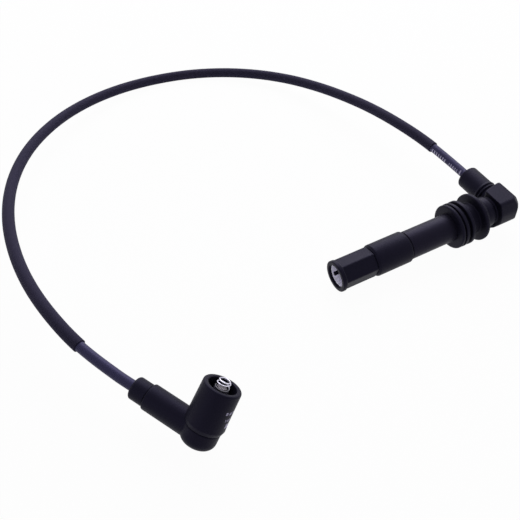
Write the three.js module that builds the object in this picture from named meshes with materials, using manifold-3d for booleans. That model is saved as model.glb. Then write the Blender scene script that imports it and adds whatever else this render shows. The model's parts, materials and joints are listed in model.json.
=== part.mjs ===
// Ignition lead: an elbow boot for the coil, a sleeved silicone cable and a long elbow boot for the plug.
// Millimetres, +Z up. It lies on a table at z = 0, with the plug boot's tube pointing along +X.
import * as THREE from "three";
import { mergeVertices } from "three/addons/utils/BufferGeometryUtils.js";
import Module from "manifold-3d";

const wasm = await Module();
wasm.setup();

// Fits
const slipGap = 0.15; // radial play between a piece and the bore that holds it
const seatGap = 0.3; // play between faces that meet end to end
const fineFacets = 28;
const smallFacets = 16;
const filletSteps = 1.5; // per millimetre of radius
const mostFilletSteps = 4;

// Cable and its protective sleeve
const cableDia = 7;
const cableSides = 10;
const sleeveWall = 0.5;
const sleeveDia = 8.5;
const bareAtCoil = 43; // cable seen between the coil boot's seal and the sleeve
const bareAtPlug = 46; // cable seen between the sleeve and the plug boot's gland
const straightAtBoot = 12; // the cable leaves each boot straight for this far
const cableStep = 18;

// Coil boot, measured from the point where the tower's and the arm's axes cross
const towerBaseDia = 22.4;
const heelDrop = 8.4; // the elbow's underside, rounded over to the tower's sides
const heelRound = 10;
const heelEdgeRound = 4;
const shellFoot = 3.9;
const shellFootDia = 24.7;
const shellFootBevel = 0.9;
const shellFootBevelHeight = 2.6;
const shellMouthDia = 23.2;
const shellMouthHeight = 31;
const shellLipRound = 1.1;
const coilBoreDia = 17.2;
const towerSpigotDia = 19.8;
const towerSpigotTop = 12;
const coilArmDia = 16.6;
const coilArmLength = 36.7;
const coilSealDia = 14.4;
const coilSealOut = 10.6;
const coilSealPlug = 7.5;
const coilSealPlugDia = 11;
const coreDia = 9.2;
const coreRound = 0.8;
const coreBelowMouth = 2;
const coreFoot = 3.2;
const coilResistorDia = 6;
const coilResistorLength = 13;
const rivetHeadDia = 6;
const rivetHeadThick = 0.8;
const coilSpringFootDia = 8.2;
const coilSpringTopDia = 6.8;
const coilSpringWire = 0.8;
const coilSpringHeight = 5.4;
const coilSpringTurns = 2.6;
const coilTerminalDia = 5.2;
const coilTerminalBack = 3.5;
const coilTerminalFront = 5.8;
const coilStudDia = 3.6;
const coilStudHeight = 4.8;

// Plug boot, measured from its mouth along the tube
const tipRingDia = 22.8;
const tipRingLength = 3.2;
const tipRingRound = 0.6;
const tipHexCorners = 22.4;
const tipHexRound = 1.4;
const tipHexTurn = -14; // degrees about the tube, from a flat on top
const tipLength = 28.6;
const tipSpigotDia = 19.2;
const tipSpigotLength = 14;
const bandDia = 23.3;
const bandLength = 29.2;
const bandChamfer = 1.4;
const tubeDia = 20.9;
const tubeSpigotDia = 17.2;
const tubeSpigotLength = 7;
const sealStart = 97.2;
const sealFrontDia = 33.2;
const sealFrontLength = 3.2;
const sealFrontRound = 1.2;
const sealRibDia = 33.4;
const sealRibLength = 2.6;
const sealNotchDia = 28.4;
const sealNotchLength = 1;
const sealGrooveDia = 27.2;
const sealGrooveLength = 3;
const sealDiscDia = 35.8;
const sealDiscLength = 13.3;
const sealDiscRound = 3;
const sealDiscTaper = 5;
const sealDiscEndDia = 29;
const linerDia = 16.6;
const linerWall = 0.6;
const linerInset = 1.2;
const linerLength = 37;
const linerSlotWidth = 3;
const linerSlotLength = 15;
const linerSlotInset = 1; // from the liner's end
const linerSlotTurn = -38; // degrees about the tube, from the arm's side
const gripBoreDia = 11;
const gripLength = 15;
const cupDia = 9.2;
const cupBoreDia = 6.6;
const cupLength = 13;
const cupFloor = 3;
const clipWire = 0.8;
const clipInset = 4;
const contactSpringDia = 5.6;
const contactSpringWire = 0.8;
const contactSpringLength = 8;
const contactSpringTurns = 4;
const resistorDia = 6;
const resistorLength = 26;
const resistorBoreDia = 8.4;
const capDia = 7.4;
const capLength = 4;
const capFloor = 1;
const rodDia = 2.6;
const rodHeadDia = 7;
const rodHeadThick = 2.4;
const rodProud = 1.5; // past the cable terminal that it crosses

// Plug boot's elbow, measured from the point where the tube's and the arm's axes cross
const elbowStation = 143;
const headFront = 9.8;
const headBack = 8.7;
const headTop = 12.8;
const headUnder = 12.9;
const headSide = 13.7;
const headBevel = 3;
const headTopNear = 11.5; // the flat top ends here towards the cable, and at headTopFar away from it
const headTopFar = 9.8;
const headFlankTop = 4.1; // the far flank's upper and lower edges
const headFlankFoot = 4;
const headFootFar = 7.5;
const headFootNear = 6;
const headNearFlank = 5;
const headNearFront = 7.5; // the near wall runs back at a slant
const headNearBack = 11.8;
const neckDia = 22.6;
const neckGrooveDia = 19.6;
const neckGrooveLength = 3;
const bossDia = 16.4;
const bossLength = 17.2;
const bossRibDia = 18.6;
const bossRibLength = 1.4;
const glandDia = 17.7;
const glandLength = 37;
const glandRound = 1;
const grommetDia = 12.6;
const grommetLength = 8;
const plugTerminalDia = 5.8;
const plugTerminalBack = 3.6;
const plugTerminalFront = 8.8;
const lugWidth = 15;
const lugReach = 4.6;

// Where the boots lie
const coilCrossing = new THREE.Vector2(-127.5, -47);
const coilArmHeading = 120.5; // degrees from +X, from the tower towards the cable
const coilArmRise = 9.6;
const coilTowerLean = 34.9;
const plugCrossing = new THREE.Vector2(147.3, 21.5);
const plugArmRise = 2.8;

// The free cable's centre line, from the coil boot round the loop to the plug boot
const cableRoute = [
  [-171, 31.4, 27.2], [-180, 62.5, 30.6], [-184.4, 95.7, 30.4], [-184.5, 129.2, 29.2],
  [-180.6, 162.4, 27.7], [-172.4, 194.8, 25.8], [-159.8, 225.8, 23.4], [-142.7, 254.7, 20.6],
  [-121.2, 280.7, 17.3], [-95.9, 302.9, 13.7], [-67.1, 320, 10.2], [-35.8, 331, 7.1],
  [-2.9, 334.5, 5], [30, 329.7, 4.4], [60.5, 316.6, 4.9], [86.1, 295.9, 6.8],
  [105.6, 269, 10.2], [119.2, 238.1, 14.5], [128.4, 205.4, 19], [134.7, 172.4, 23],
  [139.4, 139.8, 25.2], [143.8, 107.2, 24.9],
].map((point) => new THREE.Vector3(...point));

// Materials
const rubber = { color: 0x23222a, roughness: 0.62, metalness: 0 };
const hardPlastic = { color: 0x1f1e26, roughness: 0.5, metalness: 0 };
const silicone = { color: 0x47425a, roughness: 0.5, metalness: 0 };
const braid = { color: 0x2a2930, roughness: 0.75, metalness: 0 };
const steel = { color: 0xc9c9cf, roughness: 0.3, metalness: 1 };
const brass = { color: 0xb5954f, roughness: 0.35, metalness: 1 };
const ceramic = { color: 0xe6e2d8, roughness: 0.4, metalness: 0 };

// Outlines. A corner is [x, y] or [x, y, fillet radius].
function filleted(corners) {
  const points = [];
  corners.forEach(([x, y, radius = 0], index) => {
    const here = new THREE.Vector2(x, y);
    if (radius === 0) {
      points.push(here);
      return;
    }
    const before = corners[(index + corners.length - 1) % corners.length];
    const after = corners[(index + 1) % corners.length];
    const toBefore = new THREE.Vector2(before[0], before[1]).sub(here).normalize();
    const toAfter = new THREE.Vector2(after[0], after[1]).sub(here).normalize();
    const half = toBefore.angleTo(toAfter) / 2;
    const inward = toBefore.clone().add(toAfter).normalize();
    const centre = here.clone().addScaledVector(inward, radius / Math.sin(half));
    const first = here.clone().addScaledVector(toBefore, radius / Math.tan(half)).sub(centre);
    const last = here.clone().addScaledVector(toAfter, radius / Math.tan(half)).sub(centre);
    const turn = Math.sign(first.cross(last)) * (Math.PI - 2 * half);
    const steps = Math.min(Math.ceil(radius * filletSteps), mostFilletSteps);
    for (let step = 0; step <= steps; step += 1) {
      const spoke = first.clone().rotateAround(new THREE.Vector2(), (turn * step) / steps);
      points.push(spoke.add(centre));
    }
  });
  return points;
}

// Solids turned about X from corners given as [station, radius, fillet]
function turned(corners, facets = fineFacets) {
  const outline = filleted(corners).map((point) => new THREE.Vector2(point.y, point.x));
  if (outline[0].x > 0) outline.push(outline[0].clone());
  return new THREE.LatheGeometry(outline, facets).rotateZ(-Math.PI / 2);
}

function ring(from, to, outerDia, innerDia, facets = smallFacets) {
  const inner = innerDia / 2;
  const outer = outerDia / 2;
  return turned([[from, inner], [from, outer], [to, outer], [to, inner]], facets);
}

function rod(from, to, dia, facets = smallFacets) {
  return turned([[from, 0], [from, dia / 2], [to, dia / 2], [to, 0]], facets);
}

const alongY = (geometry) => geometry.rotateZ(Math.PI / 2);
const alongZ = (geometry) => geometry.rotateY(-Math.PI / 2);

// A straight prism of a filleted outline, from z = from to z = to
function prism(corners, from, to) {
  const shape = new THREE.Shape(filleted(corners));
  const settings = { depth: to - from, bevelEnabled: false };
  return new THREE.ExtrudeGeometry(shape, settings).translate(0, 0, from);
}

// Joins and cuts
function solidOf(geometry) {
  const bare = geometry.clone();
  bare.deleteAttribute("normal");
  bare.deleteAttribute("uv");
  const merged = mergeVertices(bare, 1e-4);
  const corners = merged.index.array;
  const triangles = [];
  for (let first = 0; first < corners.length; first += 3) {
    const [a, b, c] = corners.subarray(first, first + 3);
    if (a !== b && b !== c && c !== a) triangles.push(a, b, c);
  }
  const vertProperties = new Float32Array(merged.attributes.position.array);
  const mesh = new wasm.Mesh({ numProp: 3, vertProperties, triVerts: new Uint32Array(triangles) });
  return new wasm.Manifold(mesh);
}

function geometryOf(solid) {
  const mesh = solid.getMesh();
  const geometry = new THREE.BufferGeometry();
  geometry.setAttribute("position", new THREE.BufferAttribute(mesh.vertProperties, 3));
  geometry.setIndex(new THREE.BufferAttribute(mesh.triVerts, 1));
  const faceted = geometry.toNonIndexed();
  faceted.computeVertexNormals();
  return faceted;
}

const joined = (...parts) => parts.map(solidOf).reduce((sum, part) => sum.add(part));
const cut = (body, ...tools) => tools.map(solidOf).reduce((rest, tool) => rest.subtract(tool), body);

// A round wire along a curve, closed at both ends
function wire(curve, dia, steps, sides) {
  const section = new THREE.Shape();
  section.absarc(0, 0, dia / 2, 0, 2 * Math.PI, false);
  const outline = new THREE.Shape(section.getSpacedPoints(sides).slice(0, sides));
  return new THREE.ExtrudeGeometry(outline, { steps, bevelEnabled: false, extrudePath: curve });
}

// A compression spring along X whose end turns lie flat. It narrows from the first to the last.
class SpringLine extends THREE.Curve {
  constructor(from, to, firstRadius, lastRadius, turns) {
    super();
    Object.assign(this, { from, to, firstRadius, lastRadius, turns });
  }

  getPoint(t, target = new THREE.Vector3()) {
    const rise = THREE.MathUtils.smoothstep(t, 0.5 / this.turns, 1 - 0.5 / this.turns);
    const radius = THREE.MathUtils.lerp(this.firstRadius, this.lastRadius, rise);
    const angle = 2 * Math.PI * this.turns * t;
    const x = THREE.MathUtils.lerp(this.from, this.to, rise);
    return target.set(x, radius * Math.cos(angle), radius * Math.sin(angle));
  }
}

function spring(from, to, firstDia, lastDia, wireDia, turns) {
  const radii = [firstDia, lastDia].map((dia) => (dia - wireDia) / 2);
  const line = new SpringLine(from + wireDia / 2, to - wireDia / 2, ...radii, turns);
  return wire(line, wireDia, Math.round(turns * 11), 6);
}

function piece(name, geometry, look) {
  const mesh = new THREE.Mesh(geometry, new THREE.MeshStandardMaterial(look));
  mesh.name = name;
  return mesh;
}

const group = (...members) => new THREE.Group().add(...members);
const cableBore = cableDia + 2 * slipGap;
const degrees = THREE.MathUtils.degToRad;

// Coil boot: its arm points along +X and its tower along +Z
const coreTop = shellMouthHeight - coreBelowMouth;
const coreBore = coilResistorDia + 2 * slipGap;

function coilElbow() {
  const spigot = towerSpigotDia / 2;
  const base = towerBaseDia / 2;
  const tower = turned([
    [-heelDrop, 0], [-heelDrop, base, heelEdgeRound],
    [shellFoot - seatGap, base], [shellFoot - seatGap, spigot],
    [towerSpigotTop, spigot, 0.6], [towerSpigotTop, 0],
  ]);
  const heel = prism([
    [base, towerSpigotTop + 1], [-base, towerSpigotTop + 1],
    [-base, -heelDrop, heelRound], [base, -heelDrop, heelRound],
  ], -base, base);
  const arm = turned([
    [0, 0], [0, coilArmDia / 2], [coilArmLength, coilArmDia / 2, 0.6], [coilArmLength, 0],
  ]);
  const coreSocket = rod(coreFoot - seatGap, towerSpigotTop + 1, coreDia + 2 * slipGap);
  const studHole = rod(0, coreFoot, coilStudDia + 2 * slipGap);
  const terminalHole = rod(-coilTerminalBack - slipGap, cableStartAtCoil, coilTerminalDia + 2 * slipGap);
  const cableHole = rod(coilTerminalFront, coilArmLength + 1, cableBore);
  const sealSocket = coilSealPlugDia + 2 * slipGap;
  const sealHole = rod(coilArmLength - coilSealPlug - seatGap, coilArmLength + 1, sealSocket);
  const body = solidOf(alongZ(tower)).intersect(solidOf(alongX(heel))).add(solidOf(arm));
  return geometryOf(cut(body, alongZ(coreSocket), alongZ(studHole), terminalHole, cableHole, sealHole));
}

function coilShell() {
  const socket = towerSpigotDia / 2 + slipGap;
  const bore = coilBoreDia / 2;
  const shell = turned([
    [shellFoot, socket], [shellFoot, shellFootDia / 2 - shellFootBevel],
    [shellFoot + shellFootBevelHeight, shellFootDia / 2, 0.7],
    [towerSpigotTop, (shellFootDia + shellMouthDia) / 4],
    [shellMouthHeight, shellMouthDia / 2, shellLipRound], [shellMouthHeight, bore, 0.7],
    [towerSpigotTop + seatGap, bore], [towerSpigotTop + seatGap, socket],
  ]);
  const armNotch = rod(0, shellFootDia, coilArmDia + 2 * seatGap, fineFacets);
  return geometryOf(cut(solidOf(alongZ(shell)), armNotch));
}

function coilCableSeal() {
  const bore = cableBore / 2;
  const plug = coilSealPlugDia / 2;
  const start = coilArmLength - coilSealPlug;
  const collar = coilArmLength + seatGap;
  const end = coilArmLength + coilSealOut;
  return turned([
    [start, bore], [start, plug], [collar, plug], [collar, coilSealDia / 2],
    [end, coilSealDia / 2, 2], [end, bore],
  ]);
}

function coilCore() {
  const outer = coreDia / 2;
  return alongZ(turned([
    [coreFoot, coreBore / 2], [coreFoot, outer], [coreTop, outer, coreRound], [coreTop, coreBore / 2],
  ], smallFacets));
}

function coilContactRivet() {
  const stem = coilResistorDia / 2;
  const foot = coilStudHeight + coilResistorLength + 2 * slipGap;
  const head = coreTop + slipGap;
  return alongZ(turned([
    [foot, 0], [foot, stem], [head, stem], [head, rivetHeadDia / 2],
    [head + rivetHeadThick, rivetHeadDia / 2, 0.3], [head + rivetHeadThick, 0],
  ], smallFacets));
}

function coilContactSpring() {
  const foot = coreTop + slipGap;
  const top = foot + coilSpringHeight;
  return alongZ(spring(foot, top, coilSpringFootDia, coilSpringTopDia, coilSpringWire, coilSpringTurns));
}

const cableStartAtCoil = coilTerminalFront + seatGap;

function coilTerminal() {
  const barrel = rod(-coilTerminalBack, coilTerminalFront, coilTerminalDia);
  const stud = rod(0, coilStudHeight, coilStudDia);
  return geometryOf(joined(barrel, alongZ(stud)));
}

function coilBoot() {
  const resistorFoot = coilStudHeight + slipGap;
  const resistor = rod(resistorFoot, resistorFoot + coilResistorLength, coilResistorDia);
  return group(
    piece("coil_elbow_boot", coilElbow(), rubber),
    piece("coil_tower_shell", coilShell(), rubber),
    piece("coil_cable_seal", coilCableSeal(), rubber),
    piece("coil_insulator_core", coilCore(), hardPlastic),
    piece("coil_resistor", alongZ(resistor), ceramic),
    piece("coil_contact_rivet", coilContactRivet(), steel),
    piece("coil_contact_spring", coilContactSpring(), steel),
    piece("coil_cable_terminal", coilTerminal(), brass),
  );
}

// Plug boot: its tube runs along +X from the mouth and its arm leaves the elbow along +Y
const bandStart = tipLength + seatGap;
const bandEnd = bandStart + bandLength;
const tipEnd = tipLength + tipSpigotLength;
const tubeStart = tipEnd + seatGap;
const sealEnd = sealStart + sealDiscLength + sealGrooveLength
  + 2 * (sealRibLength + sealNotchLength) + sealFrontLength;
const neckStart = sealEnd + seatGap;
const headStart = elbowStation - headFront;
const spigotEnd = neckStart + tubeSpigotLength;
const linerEnd = linerInset + linerLength;
const cupStart = tubeStart + slipGap;
const springStart = cupStart + cupLength + slipGap;
const capStart = springStart + contactSpringLength + slipGap;
const resistorStart = capStart + capFloor + slipGap;
const resistorEnd = resistorStart + resistorLength;
const rodHeadStart = resistorEnd + capFloor + 2 * slipGap;
const rodStart = rodHeadStart + rodHeadThick;
const rodEnd = elbowStation + plugTerminalDia / 2 + rodProud;
const tubeBoreEnd = rodStart + slipGap;
const cableStartAtPlug = plugTerminalFront + seatGap;

function hexCorners(cornerDia, fillet, turn) {
  const spokes = [0, 1, 2, 3, 4, 5].map((index) => (index * Math.PI) / 3 + degrees(turn));
  return spokes.map((angle) => [
    (cornerDia / 2) * Math.cos(angle), (cornerDia / 2) * Math.sin(angle), fillet,
  ]);
}

function plugTip() {
  const ringRadius = tipRingDia / 2;
  const mouthRing = turned([
    [0, 0], [0, ringRadius, tipRingRound], [tipRingLength, ringRadius, 0.7], [tipRingLength, 0],
  ]);
  const outline = hexCorners(tipHexCorners, tipHexRound, tipHexTurn);
  const hexagon = prism(outline, tipRingLength / 2, tipLength);
  const spigot = rod(tipLength - 1, tipEnd, tipSpigotDia, fineFacets);
  const body = joined(mouthRing, alongX(hexagon), spigot);
  const bore = linerDia + 2 * slipGap;
  const linerSocket = rod(-1, linerEnd + slipGap, bore, fineFacets);
  const throat = rod(linerEnd, tipEnd + 1, gripBoreDia);
  return geometryOf(cut(body, linerSocket, throat));
}

// Turns a prism that stands along Z so that it runs along X, with the outline's x across and y up
function alongX(geometry) {
  return geometry.rotateZ(Math.PI / 2).rotateY(Math.PI / 2).rotateX(Math.PI / 2);
}

function plugLiner() {
  const tube = ring(linerInset, linerEnd, linerDia, linerDia - 2 * linerWall, fineFacets);
  const slot = new THREE.BoxGeometry(linerSlotLength, linerDia, linerSlotWidth);
  slot.translate(linerInset + linerSlotInset + linerSlotLength / 2, linerDia / 2, 0);
  slot.rotateX(degrees(linerSlotTurn));
  return geometryOf(cut(solidOf(tube), slot));
}

function plugGripBush() {
  const outer = linerDia / 2 - linerWall - slipGap;
  const end = linerEnd;
  const start = end - gripLength;
  const bore = gripBoreDia / 2;
  return turned([[start, bore, 1], [start, outer], [end, outer], [end, bore]], 24);
}

function plugTube() {
  const spigot = tipSpigotDia / 2;
  const rear = tubeSpigotDia / 2;
  const outer = tubeDia / 2;
  const cupRoom = cupDia / 2 + slipGap;
  const bore = resistorBoreDia / 2;
  const lead = rodDia / 2 + slipGap;
  return turned([
    [tubeStart, cupRoom], [tubeStart, spigot], [bandEnd + seatGap, spigot],
    [bandEnd + seatGap, outer, 0.6], [sealEnd, outer], [sealEnd, rear], [spigotEnd, rear],
    [spigotEnd, lead], [tubeBoreEnd, lead], [tubeBoreEnd, bore],
    [springStart, bore], [springStart, cupRoom],
  ]);
}

function plugBand() {
  const inner = tipSpigotDia / 2 + slipGap;
  const outer = bandDia / 2;
  const face = outer - bandChamfer;
  return turned([
    [bandStart, inner], [bandStart, face], [bandStart + bandChamfer, outer, 0.8],
    [bandEnd - bandChamfer, outer, 0.8], [bandEnd, face], [bandEnd, inner],
  ]);
}

function wellSeal() {
  const bore = tubeDia / 2 + slipGap;
  const front = sealFrontDia / 2;
  const rib = sealRibDia / 2;
  const notch = sealNotchDia / 2;
  const groove = sealGrooveDia / 2;
  const disc = sealDiscDia / 2;
  const discEnd = sealDiscEndDia / 2;
  const corners = [
    [sealStart, bore], [sealStart, front, sealFrontRound], [sealStart + sealFrontLength, front, 0.5],
  ];
  let station = sealStart + sealFrontLength;
  [1, 2].forEach(() => {
    corners.push([station, notch], [station + sealNotchLength, notch]);
    corners.push([station + sealNotchLength, rib, 0.5]);
    station += sealNotchLength + sealRibLength;
    corners.push([station, rib, 0.5]);
  });
  corners.push([station, groove], [station + sealGrooveLength, groove]);
  const discStart = station + sealGrooveLength;
  corners.push([discStart, disc, sealDiscRound], [sealEnd - sealDiscTaper, disc, sealDiscTaper / 2]);
  corners.push([sealEnd, discEnd], [sealEnd, bore]);
  return turned(corners);
}

function elbowHead() {
  const back = headBack;
  const front = -headFront;
  const bevel = headBevel;
  const wall = headSide - 1;
  const fromTube = prism([
    [headTopNear, headTop, 1], [-headTopFar, headTop, 1], [-headSide, headFlankTop, 1],
    [-headSide, -headFlankFoot, 1], [-headFootFar, -headUnder, 1], [headFootNear, -headUnder, 1],
    [wall, -headNearFlank, 1], [wall, headNearFlank, 1],
  ], front, back);
  const fromArm = prism([
    [front, headTop + 1], [front, -headUnder - 1], [back - bevel, -headUnder - 1, 1],
    [back, -headUnder + bevel - 1, 1], [back, headTop - bevel + 1, 1], [back - bevel, headTop + 1, 1],
  ], -headSide - 1, headSide + 1);
  const fromTop = prism([
    [front, headNearFront, 1], [front, -headSide - 1], [back - bevel, -headSide - 1, 1],
    [back, bevel - headSide, 1], [back, headNearBack, 1],
  ], -headUnder - 1, headTop + 1);
  const block = solidOf(alongX(fromTube)).intersect(solidOf(fromArm.rotateX(Math.PI / 2)));
  return block.intersect(solidOf(fromTop));
}

function elbowArm() {
  const boss = bossDia / 2;
  const rib = bossRibDia / 2;
  const gland = glandDia / 2;
  const firstRib = bossLength - 3 * bossRibLength;
  const lastRib = bossLength - bossRibLength;
  return alongY(turned([
    [0, 0], [0, boss], [firstRib, boss], [firstRib, rib, 0.3], [firstRib + bossRibLength, rib, 0.3],
    [firstRib + bossRibLength, boss], [lastRib, boss], [lastRib, rib, 0.3], [bossLength, rib, 0.3],
    [bossLength, gland], [glandLength, gland, glandRound], [glandLength, 0],
  ]));
}

// The lug is the lip under the neck that reaches forward towards the seal
function elbowLug() {
  const root = 1 - neckGrooveDia / 2;
  const lug = prism([
    [lugWidth / 2, -headUnder, 1.5], [lugWidth / 2, root],
    [-lugWidth / 2, root], [-lugWidth / 2, -headUnder, 1.5],
  ], -headFront - lugReach, 1 - headFront);
  return alongX(lug);
}

function plugElbow() {
  const neck = neckDia / 2;
  const neckEnd = -headFront - neckGrooveLength;
  const start = neckStart - elbowStation;
  const stem = turned([
    [start, 0], [start, neck, 0.8], [neckEnd, neck, 0.5], [neckEnd, neckGrooveDia / 2],
    [1 - headFront, neckGrooveDia / 2], [1 - headFront, 0],
  ]);
  const body = joined(stem, elbowArm(), elbowLug()).add(elbowHead());
  const socketDia = tubeSpigotDia + 2 * slipGap;
  const tubeSocket = rod(start - 1, spigotEnd - elbowStation + seatGap, socketDia, fineFacets);
  const leadHole = rod(start, rodEnd - elbowStation + slipGap, rodDia + 2 * slipGap);
  const terminalHole = rod(-plugTerminalBack - slipGap, cableStartAtPlug, plugTerminalDia + 2 * slipGap);
  const cableHole = rod(plugTerminalFront, glandLength + 1, cableBore);
  const grommetHole = rod(glandLength - grommetLength - seatGap, glandLength + 1, grommetDia + 2 * slipGap);
  const holes = [terminalHole, cableHole, grommetHole].map(alongY);
  return geometryOf(cut(body, tubeSocket, leadHole, ...holes)).translate(elbowStation, 0, 0);
}

function terminalCup() {
  const outer = cupDia / 2;
  const bore = cupBoreDia / 2;
  const end = cupStart + cupLength;
  const groove = bore + clipWire / 2;
  const clip = cupStart + clipInset;
  return turned([
    [cupStart, bore + 0.6], [cupStart, outer, 0.5], [end, outer, 0.5], [end, 0],
    [end - cupFloor, 0], [end - cupFloor, bore], [clip + clipWire, bore], [clip + clipWire, groove],
    [clip - clipWire, groove], [clip - clipWire, bore],
  ], 24);
}

function terminalClip() {
  const open = Math.PI / 5;
  const path = new THREE.Curve();
  const radius = cupBoreDia / 2 - slipGap / 2;
  path.getPoint = (t, target = new THREE.Vector3()) => {
    const angle = open + t * (2 * Math.PI - 2 * open);
    return target.set(cupStart + clipInset, radius * Math.sin(angle), radius * Math.cos(angle));
  };
  return wire(path, clipWire - 2 * slipGap, 20, 6);
}

function resistorCap(floorStart, openTowards) {
  const bore = resistorDia / 2 + slipGap;
  const outer = capDia / 2;
  const corners = [
    [0, 0], [0, outer, 0.4], [capLength, outer], [capLength, bore], [capFloor, bore], [capFloor, 0],
  ];
  const cap = turned(corners, smallFacets);
  if (openTowards < 0) cap.rotateZ(Math.PI);
  return cap.translate(floorStart, 0, 0);
}

function leadRod() {
  const stem = rodDia / 2;
  return turned([
    [rodHeadStart, 0], [rodHeadStart, rodHeadDia / 2, 0.4], [rodStart, rodHeadDia / 2],
    [rodStart, stem], [rodEnd, stem], [rodEnd, 0],
  ], smallFacets);
}

function plugTerminal() {
  const barrel = alongY(rod(-plugTerminalBack, plugTerminalFront, plugTerminalDia));
  const crossHole = rod(-plugTerminalDia, plugTerminalDia, rodDia + 2 * slipGap);
  return geometryOf(cut(solidOf(barrel), crossHole)).translate(elbowStation, 0, 0);
}

function plugGrommet() {
  const bore = cableBore / 2;
  const start = glandLength - grommetLength;
  const end = glandLength - 0.4;
  return alongY(turned([
    [start, bore], [start, grommetDia / 2], [end, grommetDia / 2, 0.6], [end, bore],
  ])).translate(elbowStation, 0, 0);
}

function plugBoot() {
  const springEnd = springStart + contactSpringLength;
  const contact = [contactSpringDia, contactSpringDia, contactSpringWire, contactSpringTurns];
  const rearCap = resistorEnd + slipGap + capFloor;
  return group(
    piece("plug_tip", plugTip(), rubber),
    piece("plug_contact_liner", plugLiner(), steel),
    piece("plug_grip_bush", plugGripBush(), rubber),
    piece("plug_band", plugBand(), rubber),
    piece("plug_tube", plugTube(), hardPlastic),
    piece("plug_well_seal", wellSeal(), rubber),
    piece("plug_elbow", plugElbow(), rubber),
    piece("plug_gland_grommet", plugGrommet(), rubber),
    piece("plug_terminal_cup", terminalCup(), brass),
    piece("plug_terminal_clip", terminalClip(), steel),
    piece("plug_contact_spring", spring(springStart, springEnd, ...contact), steel),
    piece("plug_resistor_front_cap", resistorCap(capStart, 1), brass),
    piece("plug_resistor", rod(resistorStart, resistorEnd, resistorDia), ceramic),
    piece("plug_resistor_rear_cap", resistorCap(rearCap, -1), brass),
    piece("plug_lead_rod", leadRod(), brass),
    piece("plug_cable_terminal", plugTerminal(), brass),
  );
}

// Places
function restOnTable(boot) {
  boot.updateMatrixWorld(true);
  boot.position.z -= new THREE.Box3().setFromObject(boot, true).min.z;
  boot.updateMatrixWorld(true);
}

function placedCoilBoot() {
  const boot = coilBoot();
  const heading = degrees(coilArmHeading);
  const rise = degrees(coilArmRise);
  const lean = degrees(coilTowerLean);
  const flat = new THREE.Vector3(Math.cos(heading), Math.sin(heading), 0);
  const arm = flat.multiplyScalar(Math.cos(rise)).setZ(Math.sin(rise));
  const side = new THREE.Vector3(-Math.sin(heading), Math.cos(heading), 0);
  const upright = arm.clone().cross(side);
  const tower = upright.multiplyScalar(Math.cos(lean)).addScaledVector(side, -Math.sin(lean));
  const across = tower.clone().cross(arm);
  boot.setRotationFromMatrix(new THREE.Matrix4().makeBasis(arm, across, tower));
  boot.position.set(coilCrossing.x, coilCrossing.y, 0);
  restOnTable(boot);
  return boot;
}

// The plug boot lies on its seal's disc and its mouth ring, so its tube tilts by their difference
function placedPlugBoot() {
  const boot = plugBoot();
  const discStation = sealEnd - sealDiscLength + sealDiscRound;
  const tilt = Math.asin((sealDiscDia - tipRingDia) / 2 / (discStation - tipRingRound));
  boot.children.forEach((mesh) => mesh.geometry.translate(-elbowStation, 0, 0));
  boot.rotation.set(degrees(plugArmRise), -tilt, 0, "YXZ");
  boot.position.set(plugCrossing.x, plugCrossing.y, 0);
  restOnTable(boot);
  return boot;
}

// Cable and sleeve share the sampled stations of one route, so that they stay concentric
class Stretch extends THREE.Curve {
  constructor(route, stations) {
    super();
    this.route = route;
    this.stations = stations;
  }

  along(u) {
    const place = u * (this.stations.length - 1);
    const index = Math.min(Math.floor(place), this.stations.length - 2);
    const station = THREE.MathUtils.lerp(this.stations[index], this.stations[index + 1], place - index);
    return THREE.MathUtils.clamp(station / this.route.getLength(), 0, 1);
  }

  getPointAt(u, target) {
    return this.route.getPointAt(this.along(u), target);
  }

  getTangentAt(u, target) {
    return this.route.getTangentAt(this.along(u), target);
  }
}

function stationsBetween(from, to) {
  const count = Math.max(2, Math.round((to - from) / cableStep));
  return Array.from({ length: count + 1 }, (unused, index) => from + ((to - from) * index) / count);
}

function cableAndSleeve(coil, plug) {
  const inCoil = (x) => coil.localToWorld(new THREE.Vector3(x, 0, 0));
  const inPlug = (y) => plug.localToWorld(new THREE.Vector3(0, y, 0));
  const coilExit = coilArmLength + coilSealOut;
  const points = [
    inCoil(cableStartAtCoil), inCoil(coilArmLength - coilSealPlug), inCoil(coilExit),
    inCoil(coilExit + straightAtBoot), ...cableRoute, inPlug(glandLength + straightAtBoot),
    inPlug(glandLength), inPlug(glandLength - grommetLength), inPlug(cableStartAtPlug),
  ];
  const route = new THREE.CatmullRomCurve3(points, false, "centripetal");
  route.arcLengthDivisions = 4000;
  const length = route.getLength();
  const coilMouth = coilExit - cableStartAtCoil;
  const plugMouth = length - (glandLength - cableStartAtPlug);
  const sleeveFrom = coilMouth + bareAtCoil;
  const sleeveTo = plugMouth - bareAtPlug;
  const sleeved = stationsBetween(sleeveFrom, sleeveTo);
  const whole = [
    ...stationsBetween(0, coilMouth).slice(0, -1), ...stationsBetween(coilMouth, sleeveFrom).slice(0, -1),
    ...sleeved, ...stationsBetween(sleeveTo, plugMouth).slice(1),
    ...stationsBetween(plugMouth, length).slice(1),
  ];
  const sleeveSection = new THREE.Shape(circlePoints(sleeveDia / 2));
  sleeveSection.holes.push(new THREE.Path(circlePoints(sleeveDia / 2 - sleeveWall)));
  const sleeve = new THREE.ExtrudeGeometry(sleeveSection, {
    steps: sleeved.length - 1, bevelEnabled: false, extrudePath: new Stretch(route, sleeved),
  });
  const cable = new THREE.ExtrudeGeometry(new THREE.Shape(circlePoints(cableDia / 2)), {
    steps: whole.length - 1, bevelEnabled: false, extrudePath: new Stretch(route, whole),
  });
  return group(piece("cable", cable, silicone), piece("protective_sleeve", sleeve, braid));
}

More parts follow.
